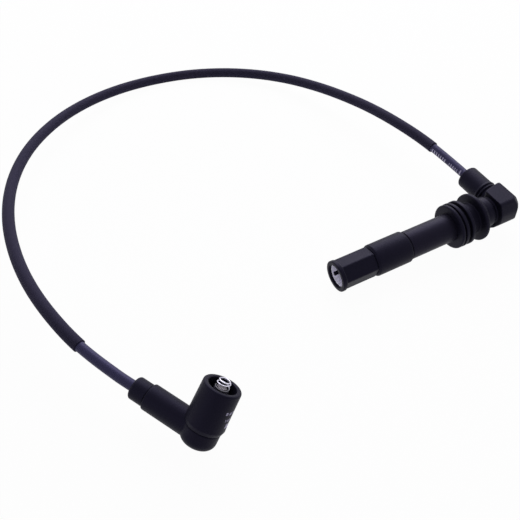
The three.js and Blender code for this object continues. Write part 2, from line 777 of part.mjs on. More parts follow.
function circlePoints(radius) {
  const corners = Array.from({ length: cableSides }, (unused, index) => (2 * Math.PI * index) / cableSides);
  return corners.map((angle) => new THREE.Vector2(radius * Math.cos(angle), radius * Math.sin(angle)));
}

const coil = placedCoilBoot();
const plug = placedPlugBoot();
const lead = group(coil, plug, cableAndSleeve(coil, plug));

export default lead;
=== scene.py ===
import json
import math

import bmesh
import bpy
import numpy as np
from bpy.props import FloatProperty, FloatVectorProperty, PointerProperty
from mathutils import Matrix, Vector

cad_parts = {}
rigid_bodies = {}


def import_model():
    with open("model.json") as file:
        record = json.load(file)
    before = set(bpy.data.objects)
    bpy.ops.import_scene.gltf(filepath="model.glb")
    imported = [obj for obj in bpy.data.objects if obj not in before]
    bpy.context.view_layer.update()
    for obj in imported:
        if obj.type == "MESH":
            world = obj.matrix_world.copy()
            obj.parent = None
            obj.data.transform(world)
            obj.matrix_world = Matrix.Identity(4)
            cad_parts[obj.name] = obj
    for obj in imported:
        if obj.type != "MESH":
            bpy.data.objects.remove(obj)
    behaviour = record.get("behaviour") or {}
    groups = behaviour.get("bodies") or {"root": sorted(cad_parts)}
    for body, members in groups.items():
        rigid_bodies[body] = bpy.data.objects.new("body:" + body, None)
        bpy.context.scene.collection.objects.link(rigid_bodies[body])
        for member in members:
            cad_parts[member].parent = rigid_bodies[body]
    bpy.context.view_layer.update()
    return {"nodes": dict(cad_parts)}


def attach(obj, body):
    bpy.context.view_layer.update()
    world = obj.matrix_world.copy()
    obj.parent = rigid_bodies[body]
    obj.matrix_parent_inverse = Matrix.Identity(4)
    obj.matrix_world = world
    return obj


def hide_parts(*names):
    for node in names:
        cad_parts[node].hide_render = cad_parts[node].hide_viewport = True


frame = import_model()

bl_info = {
    "name": "Ignition lead",
    "version": (1, 0, 0),
    "blender": (4, 5, 0),
    "location": "3D View > Sidebar > Ignition lead",
    "description": "Builds a sleeved ignition cable with its two elbow boots on a pale table",
    "category": "Object",
}

MM = 0.001
SLIP = 0.15 * MM  # play between a piece and its bore
SEAT = 0.3 * MM  # play between faces that meet
TURNS = 2 * math.pi
LATHE_SIDES = 96
ARC_STEP = math.radians(12)
MOULD_GRAIN = 0.4 * MM  # the fineness of a moulding's surface mesh
OWN_PLACE = "own_place"


def millimetres(name, description, value):
    return FloatProperty(
        name=name, description=description, default=value * MM, subtype="DISTANCE", unit="LENGTH"
    )


def degrees(name, description, value):
    return FloatProperty(
        name=name, description=description, default=math.radians(value), subtype="ANGLE",
        unit="ROTATION",
    )


def place(name, description, *value):
    return FloatVectorProperty(
        name=name, description=description, default=[v * MM for v in value],
        subtype="TRANSLATION", unit="LENGTH",
    )


def colour(name, description, *value):
    """Red, green and blue are written as a picture shows them, from 0 to 255."""
    linear = [((v / 255 + 0.055) / 1.055) ** 2.4 if v > 10 else v / 255 / 12.92 for v in value]
    return FloatVectorProperty(
        name=name, description=description, default=linear, subtype="COLOR", min=0, max=1
    )


def share(name, description, value):
    return FloatProperty(
        name=name, description=description, default=value, min=0, max=1, subtype="FACTOR"
    )


# The cable's free centre line in millimetres, from the coil boot round the loop to the plug boot.
FREE_ROUTE = [
    (-171, 31.4, 27.2), (-180, 62.5, 30.6), (-184.4, 95.7, 30.4), (-184.5, 129.2, 29.2),
    (-180.6, 162.4, 27.7), (-172.4, 194.8, 25.8), (-159.8, 225.8, 23.4), (-142.7, 254.7, 20.6),
    (-121.2, 280.7, 17.3), (-95.9, 302.9, 13.7), (-67.1, 320, 10.2), (-35.8, 331, 7.1),
    (-2.9, 334.5, 5), (30, 329.7, 4.4), (60.5, 316.6, 4.9), (86.1, 295.9, 6.8),
    (105.6, 269, 10.2), (119.2, 238.1, 14.5), (128.4, 205.4, 19), (134.7, 172.4, 23),
    (139.4, 139.8, 25.2), (143.8, 107.2, 24.9),
]


class CableSizes(bpy.types.PropertyGroup):
    diameter: millimetres("Cable diameter", "Outside diameter of the silicone cable", 7)
    sleeve_diameter: millimetres("Sleeve diameter", "Outside diameter of the sleeve", 8.7)
    sleeve_wall: millimetres("Sleeve wall", "Thickness of the sleeve", 0.5)
    bare_at_coil: millimetres("Bare at coil", "Cable seen beside the coil boot", 43)
    bare_at_plug: millimetres("Bare at plug", "Cable seen beside the plug boot", 40.5)
    straight: millimetres("Straight run", "Straight cable outside each boot", 12)


class CoilBootSizes(bpy.types.PropertyGroup):
    crossing: place("Crossing", "Where the tower's and the arm's axes cross", -127.5, -47, 11.7331)
    heading: degrees("Heading", "The arm's direction on the table, from +X", 120.5)
    rise: degrees("Rise", "How far the arm points up", 9.6)
    lean: degrees("Lean", "How far the tower leans over about the arm", 34.9)
    base_diameter: millimetres("Base diameter", "The tower below its shell", 22.4)
    heel_drop: millimetres("Heel drop", "From the crossing down to the heel", 8.4)
    heel_round: millimetres("Heel round", "Rounding of the heel about the arm", 10)
    heel_free_round: millimetres("Heel free round", "Rounding of the heel's side off the table", 5)
    heel_edge_round: millimetres("Heel edge round", "Rounding of the heel's rim", 5.5)
    shell_foot: millimetres("Shell foot", "Height of the shell's lower edge", 3.9)
    shell_foot_diameter: millimetres("Shell foot diameter", "The shell above its foot", 24.7)
    foot_bevel: millimetres("Foot bevel", "How far the shell's foot is bevelled in", 0.9)
    foot_bevel_height: millimetres("Foot bevel height", "Height of the foot's bevel", 2.6)
    mouth_diameter: millimetres("Mouth diameter", "The shell at its mouth", 23.2)
    mouth_height: millimetres("Mouth height", "Height of the shell's mouth", 31)
    lip_round: millimetres("Lip round", "Rounding of the mouth's lip", 1.1)
    bore: millimetres("Bore", "Inside diameter of the tower", 17.2)
    spigot_diameter: millimetres("Spigot diameter", "The part of the elbow in the shell", 19.8)
    spigot_top: millimetres("Spigot top", "Height of the spigot's end", 12)
    arm_diameter: millimetres("Arm diameter", "The cable arm", 16.6)
    arm_length: millimetres("Arm length", "From the crossing to the arm's end", 36.7)
    seal_diameter: millimetres("Seal diameter", "The collar at the arm's end", 14.4)
    seal_out: millimetres("Seal length", "How far the collar stands out of the arm", 10.6)
    seal_plug_diameter: millimetres("Seal plug", "The seal inside the arm", 11)
    seal_plug: millimetres("Seal plug length", "How far the seal goes into the arm", 7.5)
    core_diameter: millimetres("Core diameter", "The insulator in the tower", 9.2)
    core_foot: millimetres("Core foot", "Height of the core's lower end", 3.2)
    core_below: millimetres("Core below mouth", "From the mouth down to the core", 2)
    spring_foot: millimetres("Spring foot", "Diameter of the spring's lowest turn", 8.8)
    spring_top: millimetres("Spring top", "Diameter of the spring's last turn", 6.6)
    spring_height: millimetres("Spring height", "Height of the spring", 5.4)
    spring_wire: millimetres("Spring wire", "Thickness of the spring's wire", 0.8)


class PlugBootSizes(bpy.types.PropertyGroup):
    crossing: place("Crossing", "Where the tube's and the arm's axes cross", 147.3, 21.5, 19.5587)
    rise: degrees("Rise", "How far the arm points up", 2.8)
    tilt: degrees("Tilt", "How far the tube points up towards the elbow", 3.2976)
    elbow: millimetres("Elbow", "From the mouth to the crossing", 143)
    ring_diameter: millimetres("Ring diameter", "The round mouth ring", 22.8)
    ring_length: millimetres("Ring length", "Length of the mouth ring", 3.2)
    hexagon: millimetres("Hexagon", "The tip across its corners", 22.4)
    hexagon_turn: degrees("Hexagon turn", "The tip's turn about the tube", -14)
    tip_length: millimetres("Tip length", "From the mouth to the band", 28.6)
    spigot_diameter: millimetres("Spigot diameter", "The tip inside the band", 19.2)
    spigot_length: millimetres("Spigot length", "Length of the tip inside the band", 14)
    throat: millimetres("Throat", "The bore that grips the plug's insulator", 11)
    liner_diameter: millimetres("Liner diameter", "Outside diameter of the metal liner", 16.6)
    liner_wall: millimetres("Liner wall", "Thickness of the liner", 0.6)
    liner_inset: millimetres("Liner inset", "From the mouth to the liner", 2)
    liner_length: millimetres("Liner length", "Length of the liner", 36.2)
    slot_width: millimetres("Slot width", "The slot in the liner", 3)
    slot_length: millimetres("Slot length", "How long the slot is", 15)
    slot_inset: millimetres("Slot inset", "From the liner's end to the slot", 1)
    slot_turn: degrees("Slot turn", "The slot's turn about the tube", -38)
    bush_length: millimetres("Bush length", "The grip bush at the liner's end", 15)
    band_diameter: millimetres("Band diameter", "The band over the joint", 23.3)
    band_length: millimetres("Band length", "Length of the band", 29.2)
    band_chamfer: millimetres("Band chamfer", "Chamfer at the band's ends", 1.4)
    tube_diameter: millimetres("Tube diameter", "The smooth tube", 20.9)
    stem_diameter: millimetres("Stem diameter", "The tube's end in the elbow", 17.2)
    stem_length: millimetres("Stem length", "Length of the tube's end in the elbow", 7.3)
    lead_bore: millimetres("Lead bore", "The bore for the lead rod", 2.9)
    seal_start: millimetres("Seal start", "From the mouth to the seal", 96.2)
    seal_front: millimetres("Seal front", "Diameter of the seal's front disc", 33.2)
    seal_rib: millimetres("Seal rib", "Diameter of the seal's ribs", 33.4)
    seal_notch: millimetres("Seal notch", "Diameter between the ribs", 28.4)
    seal_groove: millimetres("Seal groove", "Diameter of the wide groove", 23.4)
    seal_disc: millimetres("Seal disc", "Diameter of the rear disc", 35.8)
    seal_end: millimetres("Seal end", "Diameter of the seal's end face", 25.4)
    neck_diameter: millimetres("Neck diameter", "The elbow's neck", 22.6)
    groove_diameter: millimetres("Groove diameter", "The groove before the head", 19.6)
    groove_length: millimetres("Groove length", "Width of the groove", 3)
    head_front: millimetres("Head front", "From the crossing to the head's front", 9.8)
    head_back: millimetres("Head back", "From the crossing to the head's back", 8.7)
    head_top: millimetres("Head top", "Height of the head's flat top", 12.8)
    head_under: millimetres("Head underside", "Depth of the head's underside", 12.9)
    head_side: millimetres("Head side", "From the crossing to the head's far side", 13.7)
    head_bevel: millimetres("Head bevel", "Bevel at the head's back", 3)
    head_brow: millimetres("Head brow", "Bevel over the head's back", 4.5)
    head_corner: millimetres("Head corner", "Bevel at the head's far corner", 5)
    head_ball: millimetres("Head ball", "Radius that rounds the head's far corners", 21.5)
    ball_centre: place("Ball centre", "Middle of that rounding, from the crossing", -8, 2, -2)
    boss_diameter: millimetres("Boss diameter", "The arm beside the head", 16.4)
    boss_length: millimetres("Boss length", "From the crossing to the boss's end", 17.2)
    rib_diameter: millimetres("Rib diameter", "The two ribs on the boss", 18.6)
    rib_length: millimetres("Rib length", "Width of one rib", 1.4)
    gland_diameter: millimetres("Gland diameter", "The gland round the cable", 17.7)
    gland_length: millimetres("Gland length", "From the crossing to the gland's end", 37)
    grommet_diameter: millimetres("Grommet diameter", "The grommet in the gland", 12.6)
    grommet_length: millimetres("Grommet length", "Length of the grommet", 8)
    lug_width: millimetres("Lug width", "The lip under the neck", 15)
    lug_reach: millimetres("Lug reach", "How far the lip reaches to the seal", 4.6)


class Finishes(bpy.types.PropertyGroup):
    rubber: colour("Boot rubber", "The moulded boots", 18, 17, 28)
    plastic: colour("Tube plastic", "The hard tube", 28, 26, 38)
    silicone: colour("Cable silicone", "The cable's jacket", 60, 58, 88)
    sleeve: colour("Sleeve", "The woven sleeve", 60, 57, 78)
    # This colour also paints the pale tick on the cable, a painted highlight.
    marks: colour("Marks", "The printed dashes", 205, 200, 228)
    steel: colour("Steel", "Spring, liner and clip", 214, 212, 226)
    tin: colour("Tin", "The liner's plating", 240, 238, 252)
    nickel: colour("Nickel", "The rivet's aged plating", 120, 116, 122)
    brass: colour("Brass", "The contact pieces", 190, 160, 96)
    ceramic: colour("Ceramic", "The resistors", 228, 223, 212)
    tint: colour("Gloss tint", "The colour of the rubber's gloss", 200, 192, 255)
    rubber_roughness: share("Rubber roughness", "How matt the boots are", 0.5)
    sleeve_roughness: share("Sleeve roughness", "How matt the sleeve is", 0.75)


class StageSettings(bpy.types.PropertyGroup):
    camera_place: place("Camera place", "Where the camera stands", -202.7, -260.9, 361.9)
    camera_pitch: degrees("Camera pitch", "The camera's turn up from straight down", 46)
    camera_heading: degrees("Camera heading", "The camera's turn about the vertical", -27.81)
    lens: FloatProperty(
        name="Lens", description="Focal length of the camera", default=49.78, subtype="DISTANCE_CAMERA",
        unit="CAMERA",
    )
    floor: colour("Floor", "The table's colour", 255, 255, 255)
    floor_glow: share("Floor glow", "How much of the table is plain background", 0.97)
    sky: FloatProperty(name="Sky", description="Strength of the light from all round", default=0.12)
    top_lamp: FloatProperty(
        name="Top lamp", description="Power of the soft lamp above", default=19, unit="POWER"
    )
    side_lamp: FloatProperty(
        name="Side lamp", description="Power of the soft lamps at the sides", default=1.5, unit="POWER"
    )


class LeadSettings(bpy.types.PropertyGroup):
    cable: PointerProperty(type=CableSizes, name="Cable", description="Cable and sleeve")
    coil: PointerProperty(type=CoilBootSizes, name="Coil boot", description="Coil boot")
    plug: PointerProperty(type=PlugBootSizes, name="Plug boot", description="Plug boot")
    finish: PointerProperty(type=Finishes, name="Finishes", description="Colours and gloss")
    stage: PointerProperty(type=StageSettings, name="Stage", description="Camera, lamps, table")


# Outlines and meshes. A corner is (x, y) or (x, y, rounding).
def rounded(corners):
    points = []
    for index, (x, y, *rounding) in enumerate(corners):
        here = Vector((x, y))
        if not rounding:
            points.append(here)
            continue
        before = (Vector(corners[index - 1][:2]) - here).normalized()
        after = (Vector(corners[(index + 1) % len(corners)][:2]) - here).normalized()
        half = before.angle(after) / 2
        centre = here + (before + after).normalized() * rounding[0] / math.sin(half)
        first = here + before * rounding[0] / math.tan(half) - centre
        last = here + after * rounding[0] / math.tan(half) - centre
        turn = math.atan2(first.x * last.y - first.y * last.x, first.dot(last))
        steps = max(2, math.ceil(abs(turn) / ARC_STEP))
        for step in range(steps + 1):
            points.append(centre + Matrix.Rotation(turn * step / steps, 2) @ first)
    return points


def along(axis, station, across, up):
    """A point at a station of the axis, with the two other coordinates in cyclic order."""
    ordered = {"X": (station, across, up), "Y": (up, station, across), "Z": (across, up, station)}
    return ordered[axis]


def closed_mesh(name, points, faces):
    mesh = bpy.data.meshes.new(name)
    mesh.from_pydata(points, [], faces)
    builder = bmesh.new()
    builder.from_mesh(mesh)
    bmesh.ops.remove_doubles(builder, verts=builder.verts, dist=MM * 1e-3)
    bmesh.ops.recalc_face_normals(builder, faces=builder.faces)
    builder.to_mesh(mesh)
    builder.free()
    return mesh


def turned(name, corners, axis="X", sides=LATHE_SIDES):
    """A solid turned about an axis, from corners of (station, radius, rounding)."""
    outline = rounded(corners)
    rings, points, faces = [], [], []
    for station, radius in outline:
        count = sides if radius > 1e-7 else 1
        rings.append([len(points) + side % count for side in range(sides)])
        for side in range(count):
            angle = TURNS * side / sides
            across, up = radius * math.cos(angle), radius * math.sin(angle)
            points.append(along(axis, station, across, up))
    pairs = list(zip(rings, rings[1:]))
    if outline[0].y > 1e-7:
        pairs.append((rings[-1], rings[0]))
    for ring, other in pairs:
        for side in range(sides):
            after = (side + 1) % sides
            face = [ring[side], ring[after], other[after], other[side]]
            face = [corner for place, corner in enumerate(face) if corner not in face[:place]]
            if len(face) > 2:
                faces.append(face)
    return closed_mesh(name, points, faces)


def rod(name, start, end, diameter, axis="X"):
    radius = diameter / 2
    return turned(name, [(start, 0), (start, radius), (end, radius), (end, 0)], axis)


def prism(name, corners, start, end, axis="X"):
    """A straight prism of an outline, given in (Y, Z) along X, (X, Z) along Y or (X, Y) along Z."""
    outline = rounded(corners)
    points = []
    for station in (start, end):
        for first, second in outline:
            across, up = (second, first) if axis == "Y" else (first, second)
            points.append(along(axis, station, across, up))
    count = len(outline)
    faces = [list(range(count)), list(range(count, 2 * count))]
    for side in range(count):
        after = (side + 1) % count
        faces.append([side, after, count + after, count + side])
    return closed_mesh(name, points, faces)


def tube(name, path, diameter, wall=0, sides=32):
    """A round tube along a path. Its UV map holds the way round, from 0 to 1, and along, in metres."""
    path = np.array(path)
    heading = np.gradient(path, axis=0)
    heading /= np.linalg.norm(heading, axis=1)[:, None]
    travelled = np.concatenate([[0], np.cumsum(np.linalg.norm(np.diff(path, axis=0), axis=1))])
    up = np.array([0.0, 0.0, 1.0])
    points, layers = [], [diameter / 2] + [diameter / 2 - wall] * bool(wall)
    for centre, ahead in zip(path, heading):
        up = up - ahead * (up @ ahead)
        up /= np.linalg.norm(up)
        beside = np.cross(ahead, up)
        for radius in layers:
            for side in range(sides):
                angle = TURNS * side / sides
                points.append(centre + radius * (math.cos(angle) * up + math.sin(angle) * beside))
    faces, places = [], []
    step = sides * len(layers)
    for ring in range(len(path) - 1):
        for layer in range(len(layers)):
            first = ring * step + layer * sides
            for side in range(sides):
                after = (side + 1) % sides
                face = [first + side, first + after, first + step + after, first + step + side]
                sides_uv = [(side, ring), (side + 1, ring), (side + 1, ring + 1), (side, ring + 1)]
                faces.append(face[::-1] if layer else face)
                places.append(sides_uv[::-1] if layer else sides_uv)
    for ring in (0, len(path) - 1):
        first = ring * step
        if wall:
            for side in range(sides):
                after = (side + 1) % sides
                face = [first + side, first + sides + side, first + sides + after, first + after]
                faces.append(face if ring == 0 else face[::-1])
                places.append([(side, ring), (side, ring), (side + 1, ring), (side + 1, ring)])
        else:
            face = [first + side for side in range(sides)]
            faces.append(face[::-1] if ring == 0 else face)
            places.append([(side, ring) for side in range(sides)])
    mesh = bpy.data.meshes.new(name)
    mesh.from_pydata(points, [], faces)
    lay = mesh.uv_layers.new(name="Lay")
    flat = [(side / sides, travelled[ring]) for face in places for side, ring in face]
    lay.data.foreach_set("uv", np.array(flat).ravel())
    return mesh


def spring_path(start, end, first_diameter, last_diameter, wire, turns, steps=30):
    """A spring along Z with part of a flat turn at each end; its turns draw together at its top."""
    path, flat_foot, flat_top, taper = [], 0.4, 0.5, 1.5
    for step in range(round(turns * steps) + 1):
        turn = step / steps
        rise = min(max((turn - flat_foot) / (turns - flat_foot - flat_top), 0), 1)
        radius = (first_diameter + (last_diameter - first_diameter) * rise**taper - wire) / 2
        angle = TURNS * turn
        height = start + wire / 2 + (end - start - wire) * rise * (2 - rise)
        path.append((radius * math.cos(angle), radius * math.sin(angle), height))
    return path


def shown_mesh(obj):
    """The mesh of an object with its modifiers applied."""
    graph = bpy.context.evaluated_depsgraph_get()
    return bpy.data.meshes.new_from_object(obj.evaluated_get(graph), depsgraph=graph)


def carved(name, base, fused=(), cut=(), kept=(), moulded=False):
    """base with meshes fused on, cut away or kept in common. moulded rounds every crease a little."""
    scene = bpy.context.scene.collection.objects
    body = bpy.data.objects.new(name, base)
    scene.link(body)
    tools = []
    for operation, meshes in (("UNION", fused), ("INTERSECT", kept), ("DIFFERENCE", cut)):
        for mesh in meshes:
            tool = bpy.data.objects.new(mesh.name, mesh)
            scene.link(tool)
            tools.append(tool)
            step = body.modifiers.new(operation, "BOOLEAN")
            step.operation, step.solver, step.object = operation, "EXACT", tool
    if moulded:
        remesh = body.modifiers.new("Skin", "REMESH")
        remesh.mode, remesh.voxel_size, remesh.adaptivity = "VOXEL", MOULD_GRAIN, 0
        soften = body.modifiers.new("Soften", "SMOOTH")
        soften.factor, soften.iterations = 0.5, 4
    mesh = shown_mesh(body)
    for temporary in [body, *tools]:
        spent = temporary.data
        bpy.data.objects.remove(temporary)
        bpy.data.meshes.remove(spent)
    mesh.name = name
    return mesh


def put(name, mesh, material, where, slot, *nodes, crease=35):
    """Adds a finished piece that stands for CAD nodes. Its points keep their own place for the looks."""
    own = mesh.attributes.new(OWN_PLACE, "FLOAT_VECTOR", "POINT")
    own.data.foreach_set("vector", np.array([point.co for point in mesh.vertices]).ravel())
    mesh.transform(where)
    piece = bpy.data.objects.new(name, mesh)
    bpy.context.scene.collection.objects.link(piece)
    mesh.materials.clear()
    mesh.materials.append(material)
    mesh.shade_smooth()
    mesh.set_sharp_from_angle(angle=math.radians(crease))
    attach(piece, "root")
    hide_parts(*nodes)
    return piece


# Shader arithmetic
class Signal:
    """A node's output that can be used in sums; each operation adds its Math node."""

    def __init__(self, graph, socket):
        self.graph, self.socket = graph, socket

    def math(self, operation, *values, clamp=False):
        settings = {"operation": operation, "use_clamp": clamp}
        return self.graph.add("ShaderNodeMath", settings, dict(enumerate(values)))

    def __add__(self, other):
        return self.math("ADD", self, other)

    __radd__ = __add__

    def __sub__(self, other):
        return self.math("SUBTRACT", self, other)

    def __rsub__(self, other):
        return self.math("SUBTRACT", other, self)

    def __mul__(self, other):
        return self.math("MULTIPLY", self, other)

    __rmul__ = __mul__

    def __truediv__(self, other):
        return self.math("DIVIDE", self, other)

    def __rtruediv__(self, other):
        return self.math("DIVIDE", other, self)

    def __abs__(self):
        return self.math("ABSOLUTE", self)

    def __gt__(self, other):
        return self.math("GREATER_THAN", self, other)

    def __neg__(self):
        return self * -1

    def fraction(self):
        return self.math("FRACT", self)

    def within(self, centre, reach, soft):
        """1 where the signal is within reach of centre, falling to 0 over the soft width."""
        return self.math("DIVIDE", reach - abs(self - centre), soft, clamp=True)


class Graph:
    """A material's nodes. A carried look is for CAD nodes, which have no stored places of their own."""

    def __init__(self, tree, carried=False):
        self.tree, self.carried = tree, carried
        tree.nodes.clear()

    def add(self, kind, settings=None, values=None, output=0):
        node = self.tree.nodes.new(kind)
        for setting, value in (settings or {}).items():
            setattr(node, setting, value)
        for socket, value in (values or {}).items():
            if isinstance(value, Signal):
                self.tree.links.new(value.socket, node.inputs[socket])
            else:
                node.inputs[socket].default_value = value
        return Signal(self, node.outputs[output]) if node.outputs else None

    def own_place(self):
        if self.carried:
            place = self.add("ShaderNodeTexCoord", output="Object")
        else:
            place = self.add("ShaderNodeAttribute", {"attribute_name": OWN_PLACE}, output="Vector")
        return place, [
            self.add("ShaderNodeSeparateXYZ", None, {0: place}, axis) for axis in ("X", "Y", "Z")
        ]

    def lay(self):
        """The way round a tube, from 0 to 1, and along it in metres."""
        spot = self.add("ShaderNodeUVMap", {"uv_map": "Lay"})
        return [self.add("ShaderNodeSeparateXYZ", None, {0: spot}, axis) for axis in ("X", "Y")]

    def noise(self, place, scale, detail=2, output="Fac"):
        values = {"Vector": place, "Scale": scale, "Detail": detail}
        return self.add("ShaderNodeTexNoise", None, values, output)

    def blend(self, amount, first, second):
        values = {0: amount, 6: first, 7: second}
        return self.add("ShaderNodeMix", {"data_type": "RGBA"}, values, 2)

    def bump(self, height, strength, depth):
        return self.add(
            "ShaderNodeBump", None, {"Height": height, "Strength": strength, "Distance": depth}
        )

    def surface(self, **values):
        shader = self.add(
            "ShaderNodeBsdfPrincipled", None,
            {key.replace("_", " "): value for key, value in values.items()},
        )
        self.add("ShaderNodeOutputMaterial", None, {"Surface": shader})


def material(name, carried=False):
    made = bpy.data.materials.new(name)
    made.use_nodes = True
    return made, Graph(made.node_tree, carried)


def shade(colour_value, factor=1.0):
    return (*[min(1, channel * factor) for channel in colour_value], 1)


def gloss(finish, level):
    return {"Specular_IOR_Level": level, "Specular_Tint": shade(finish.tint)}


def moulded_rubber(name, finish, marks=None):
    """Matt moulded rubber with a fine spark-eroded grain and a faint bloom."""
    made, graph = material(name)
    spot, (x, y, z) = graph.own_place()
    grain = graph.noise(spot, 2400, 3)
    bloom = graph.noise(spot, 70, 4)
    scuff = graph.noise(spot, 420, 5)
    base = graph.blend(bloom, shade(finish.rubber, 0.8), shade(finish.rubber, 1.25))
    rough = finish.rubber_roughness - 0.09 + bloom * 0.12 + scuff * 0.06
    if marks:
        ink = marks(x, y, z) * (scuff > 0.36)
        base = graph.blend(ink, base, shade(finish.marks))
    graph.surface(
        Base_Color=base, Roughness=rough, Normal=graph.bump(grain, 0.35, 0.08 * MM),
        **gloss(finish, 0.135),
    )
    return made


def hard_plastic(name, finish):
    """Smooth moulded plastic with faint flow lines along its length."""
    made, graph = material(name)
    spot, (x, y, z) = graph.own_place()
    flow = graph.add("ShaderNodeCombineXYZ", None, {"X": x * 30, "Y": y * 900, "Z": z * 900})
    lines = graph.noise(flow, 1, 3)
    bloom = graph.noise(spot, 60, 3)
    base = graph.blend(bloom, shade(finish.plastic, 0.85), shade(finish.plastic, 1.2))
    rough = 0.38 + bloom * 0.08 + lines * 0.06
    graph.surface(
        Base_Color=base, Roughness=rough, Normal=graph.bump(lines, 0.2, 0.04 * MM),
        **gloss(finish, 0.14),
    )
    return made


def extruded_silicone(name, finish, marks):
    """A drawn silicone jacket: silky, with faint die lines along it, printed dashes and a painted
    highlight tick.
    """
    made, graph = material(name)
    spot, _ = graph.own_place()
    around, run = graph.lay()
    lines = graph.noise(graph.add("ShaderNodeCombineXYZ", None, {"X": around * 60, "Y": run * 14}), 1, 3)
    bloom = graph.noise(spot, 90, 3)
    base = graph.blend(bloom, shade(finish.silicone, 0.85), shade(finish.silicone, 1.15))
    base = graph.blend(marks(around, run), base, shade(finish.marks))
    graph.surface(
        Base_Color=base, Roughness=0.42 + bloom * 0.1,
        Normal=graph.bump(lines, 0.25, 0.05 * MM), **gloss(finish, 0.25),
    )
    return made


def woven_sleeve(name, finish, diameter):
    """A fine black braid: yarns cross both ways and pass over and under in turn."""
    made, graph = material(name)
    spot, _ = graph.own_place()
    around, run = graph.lay()
    yarns = 28
    pitch = yarns / (math.pi * diameter)
    right, left = around * yarns + run * pitch, around * yarns - run * pitch

    def strand(signal):
        return abs(signal.fraction() - 0.5) * 2

    over = abs((right * 0.5).fraction() - (left * 0.5).fraction()) > 0.5
    height = over * (1 - strand(right)) + (1 - over) * (1 - strand(left))
    fuzz = graph.noise(spot, 1500, 4)
    patch = graph.noise(spot, 35, 3)
    base = graph.blend(patch, shade(finish.sleeve, 0.8), shade(finish.sleeve, 1.25))
    # Painted shade: the yarns are darker at their edges and in the dips between them, lighter on their
    # crests.
    base = graph.blend(height * 0.5 + fuzz * 0.2, shade(finish.sleeve, 0.55), base)
    graph.surface(
        Base_Color=base, Roughness=finish.sleeve_roughness - 0.08 + fuzz * 0.16,
        Normal=graph.bump(height + fuzz * 0.4, 0.5, 0.12 * MM), **gloss(finish, 0.15),
    )
    return made


def bright_metal(name, tone, roughness, axis, carried=False, painted_shade=None):
    """Drawn or turned metal, with fine lines round its axis and a few dull patches."""
    made, graph = material(name, carried)
    spot, parts = graph.own_place()
    scales = dict(zip("XYZ", (parts[0] * 500, parts[1] * 500, parts[2] * 500)))
    scales[axis] = parts["XYZ".index(axis)] * 6000
    lines = graph.noise(graph.add("ShaderNodeCombineXYZ", None, scales), 1, 2)
    patch = graph.noise(spot, 260, 4)
    base = graph.blend(patch, shade(tone, 0.82), shade(tone, 1.05))
    # An optional painted shade: where its mask is 1 the metal is painted near black.
    if painted_shade:
        base = graph.blend(painted_shade(*parts), base, shade(tone, 0.12))
    graph.surface(
        Base_Color=base, Metallic=1.0, Roughness=roughness + patch * 0.12 + lines * 0.08,
        Normal=graph.bump(lines, 0.2, 0.02 * MM),
    )
    return made


def fired_ceramic(name, tone):
    made, graph = material(name, carried=True)
    spot, _ = graph.own_place()
    speck = graph.noise(spot, 1800, 3)
    base = graph.blend(speck, shade(tone, 0.88), shade(tone, 1.04))
    graph.surface(
        Base_Color=base, Roughness=0.5 + speck * 0.15, Normal=graph.bump(speck, 0.2, 0.03 * MM)
    )
    return made


# Where the boots lie
def coil_frame(sizes):
    """The coil boot's own axes: its arm along X and its tower along Z, from where they cross."""
    side = Vector((-math.sin(sizes.heading), math.cos(sizes.heading), 0))
    flat = Vector((math.cos(sizes.heading), math.sin(sizes.heading), 0))
    arm = flat * math.cos(sizes.rise) + Vector((0, 0, math.sin(sizes.rise)))
    tower = arm.cross(side) * math.cos(sizes.lean) - side * math.sin(sizes.lean)
    axes = Matrix((arm, tower.cross(arm), tower)).transposed().to_4x4()
    return Matrix.Translation(sizes.crossing) @ axes


def plug_frame(sizes):
    """The plug boot's own axes: its tube along X and its arm along Y, from where they cross."""
    turn = Matrix.Rotation(-sizes.tilt, 4, "Y") @ Matrix.Rotation(sizes.rise, 4, "X")
    return Matrix.Translation(sizes.crossing) @ turn


def mouth_frame(sizes):
    """The plug boot's axes from its mouth, so that X is the distance from the mouth."""
    return plug_frame(sizes) @ Matrix.Translation((-sizes.elbow, 0, 0))


CABLE_IN_COIL = 8 * MM  # the cable's end in the coil boot, from the crossing
CABLE_IN_PLUG = 9.1 * MM  # and in the plug boot
ROUTE_STEP = 2 * MM


def smooth_line(points, per_span=30):
    """A centripetal curve through the points."""
    points = [np.array(point, float) for point in points]
    points = [2 * points[0] - points[1], *points, 2 * points[-1] - points[-2]]
    line = []
    for a, b, c, d in zip(points, points[1:], points[2:], points[3:]):
        before, span, after = [np.linalg.norm(q - p) ** 0.5 for p, q in ((a, b), (b, c), (c, d))]
        leave = (b - a) / before - (c - a) / (before + span) + (c - b) / span
        reach = (c - b) / span - (d - b) / (span + after) + (d - c) / after
        leave, reach = leave * span, reach * span
        for step in range(per_span):
            t = step / per_span
            line.append(
                b + leave * t + (3 * (c - b) - 2 * leave - reach) * t**2
                + (2 * (b - c) + leave + reach) * t**3
            )
    return np.array([*line, points[-2]])


def run_of(line):
    return np.concatenate([[0], np.cumsum(np.linalg.norm(np.diff(line, axis=0), axis=1))])


def stretch(line, start, end):
    """The part of a line between two distances along it, in even steps."""
    run = run_of(line)
    at = np.linspace(start, end, round((end - start) / ROUTE_STEP) + 1)
    return np.stack([np.interp(at, run, line[:, axis]) for axis in range(3)], axis=1)


def cable_line(lead):
    """The cable's centre line, and the distances along it of the two boots' mouths."""
    coil, plug, straight = lead.coil, lead.plug, lead.cable.straight
    leaves = coil.arm_length + coil.seal_out
    in_coil = [CABLE_IN_COIL, coil.arm_length - coil.seal_plug, leaves, leaves + straight]
    enters = plug.gland_length
    in_plug = [enters + straight, enters, enters - plug.grommet_length, CABLE_IN_PLUG]
    points = [coil_frame(coil) @ Vector((x, 0, 0)) for x in in_coil]
    points += [Vector(point) * MM for point in FREE_ROUTE]
    points += [plug_frame(plug) @ Vector((0, y, 0)) for y in in_plug]
    line = smooth_line(points)
    return line, leaves - CABLE_IN_COIL, run_of(line)[-1] - (enters - CABLE_IN_PLUG)


